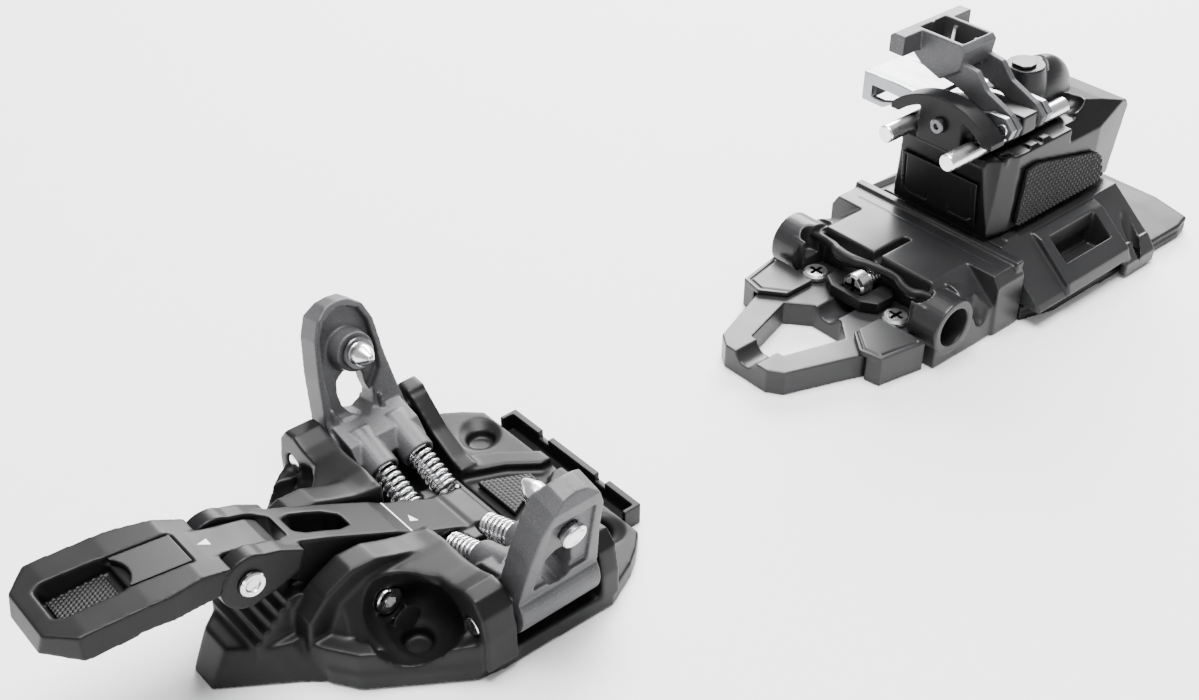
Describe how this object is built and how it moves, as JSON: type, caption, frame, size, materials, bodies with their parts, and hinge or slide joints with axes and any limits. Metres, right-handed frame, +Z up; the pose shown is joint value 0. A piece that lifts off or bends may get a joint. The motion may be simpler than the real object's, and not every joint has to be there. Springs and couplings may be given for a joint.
{
  "type": "touring ski binding",
  "caption": "Pin touring binding: toe unit with sprung jaws, step-in arm and lock lever, and a sliding turret heel unit with two pins and fold-over climbing aids.",
  "frame": {"origin": "on the ski's top surface, midway between the two jaws of the toe unit", "axes": "+X to the right of the ski, +Y from the ski's tip to its tail, +Z up off the ski"},
  "size_m": [0.121, 0.4595, 0.0926],
  "materials": {
    "black_body": "satin moulded black",
    "satin_trim": "satin dark grey",
    "cast_grey": "fine speckled mid-grey coating on a casting",
    "bright_steel": "bright plated",
    "spring_steel": "drawn wire",
    "black_rubber": "fine scale texture",
    "silver_aluminium": "silver anodised"
  },
  "bodies": {
    "mounting_base": {"toe_base": "black_body", "toe_grip_pad": "black_rubber", "arm_pivot_pin": "bright_steel", "wing_hinge_pin_left": "bright_steel", "wing_hinge_pin_right": "bright_steel", "crampon_bracket": "black_body", "heel_plate": "black_body", "side_pad_left": "black_body", "side_pad_right": "black_body", "mount_screw_left": "bright_steel", "mount_screw_right": "bright_steel", "screw_retainer": "black_body", "deck_wire": "black_body", "brake_deck": "black_body", "heel_track": "black_body"},
    "step_in_arm": {"toe_arm": "black_body", "lever_rivet": "bright_steel"},
    "lock_lever": {"toe_lever": "black_body", "lever_badge": "satin_trim", "lever_grip": "black_rubber"},
    "jaw_left": {"wing_left": "cast_grey", "toe_pin_left": "bright_steel", "toe_spring_left_front": "spring_steel", "toe_spring_left_rear": "spring_steel"},
    "jaw_right": {"wing_right": "cast_grey", "toe_pin_right": "bright_steel", "toe_spring_right_front": "spring_steel", "toe_spring_right_rear": "spring_steel"},
    "length_adjuster": {"length_screw": "bright_steel"},
    "sliding_carriage": {"carriage": "black_body", "turret_post": "bright_steel"},
    "turret": {"turret_housing": "black_body", "turret_cap": "satin_trim", "cap_insert": "cast_grey", "front_panel": "black_body", "side_grip_left": "black_rubber", "side_grip_right": "black_rubber", "arch_bridge": "black_body", "bridge_screw": "bright_steel", "riser_hinge_pin": "bright_steel"},
    "retention_pin_left": {"heel_pin_left": "bright_steel"},
    "retention_pin_right": {"heel_pin_right": "bright_steel"},
    "low_climbing_aid": {"low_riser": "silver_aluminium"},
    "high_climbing_aid": {"high_riser": "cast_grey"}
  },
  "joints": [
    {"name": "arm_pivot", "type": "hinge", "parent": "mounting_base", "child": "step_in_arm", "pos_m": [0, -0.0315, 0.0145], "axis": [-1, 0, 0], "range_deg": [0, 5.5]},
    {"name": "lever_hinge", "type": "hinge", "parent": "step_in_arm", "child": "lock_lever", "pos_m": [0, -0.0669, 0.0377], "axis": [-1, 0, 0], "range_deg": [0, 25]},
    {"name": "jaw_left_hinge", "type": "hinge", "parent": "mounting_base", "child": "jaw_left", "pos_m": [-0.0455, 0.0045, 0.0162], "axis": [0, 1, 0], "range_deg": [0, 14], "deforming": ["toe_spring_left_front", "toe_spring_left_rear"]},
    {"name": "jaw_right_hinge", "type": "hinge", "parent": "mounting_base", "child": "jaw_right", "pos_m": [0.0455, 0.0045, 0.0162], "axis": [0, -1, 0], "range_deg": [0, 14], "deforming": ["toe_spring_right_front", "toe_spring_right_rear"]},
    {"name": "carriage_slide", "type": "slide", "parent": "mounting_base", "child": "sliding_carriage", "axis": [0, 1, 0], "range_m": [0, 0.025]},
    {"name": "length_screw_turn", "type": "hinge", "parent": "mounting_base", "child": "length_adjuster", "pos_m": [0, 0.184, 0.015], "axis": [0, 1, 0], "range_deg": [0, 4500]},
    {"name": "turret_turn", "type": "hinge", "parent": "sliding_carriage", "child": "turret", "pos_m": [0, 0.262, 0.0266], "axis": [0, 0, 1], "range_deg": [0, 90]},
    {"name": "retention_pin_left_spread", "type": "hinge", "parent": "turret", "child": "retention_pin_left", "pos_m": [-0.0138, 0.273, 0.0619], "axis": [0, 0, -1], "range_deg": [0, 2.5], "stiffness_Nm_per_rad": 5},
    {"name": "retention_pin_right_spread", "type": "hinge", "parent": "turret", "child": "retention_pin_right", "pos_m": [0.0138, 0.273, 0.0619], "axis": [0, 0, 1], "range_deg": [0, 2.5], "stiffness_Nm_per_rad": 5},
    {"name": "low_climbing_aid_hinge", "type": "hinge", "parent": "turret", "child": "low_climbing_aid", "pos_m": [0.02, 0.262, 0.07], "axis": [0, 1, 0], "range_deg": [0, 80]},
    {"name": "high_climbing_aid_hinge", "type": "hinge", "parent": "low_climbing_aid", "child": "high_climbing_aid", "pos_m": [0.02, 0.262, 0.07], "axis": [0, 1, 0], "range_deg": [0, 80]}
  ],
  "couplings": [
    {"joint": "jaw_left_hinge", "follows": "arm_pivot", "ratio": 2.5},
    {"joint": "jaw_right_hinge", "follows": "arm_pivot", "ratio": 2.5},
    {"joint": "length_screw_turn", "follows": "carriage_slide", "rad_per_m": 3141.6}
  ]
}
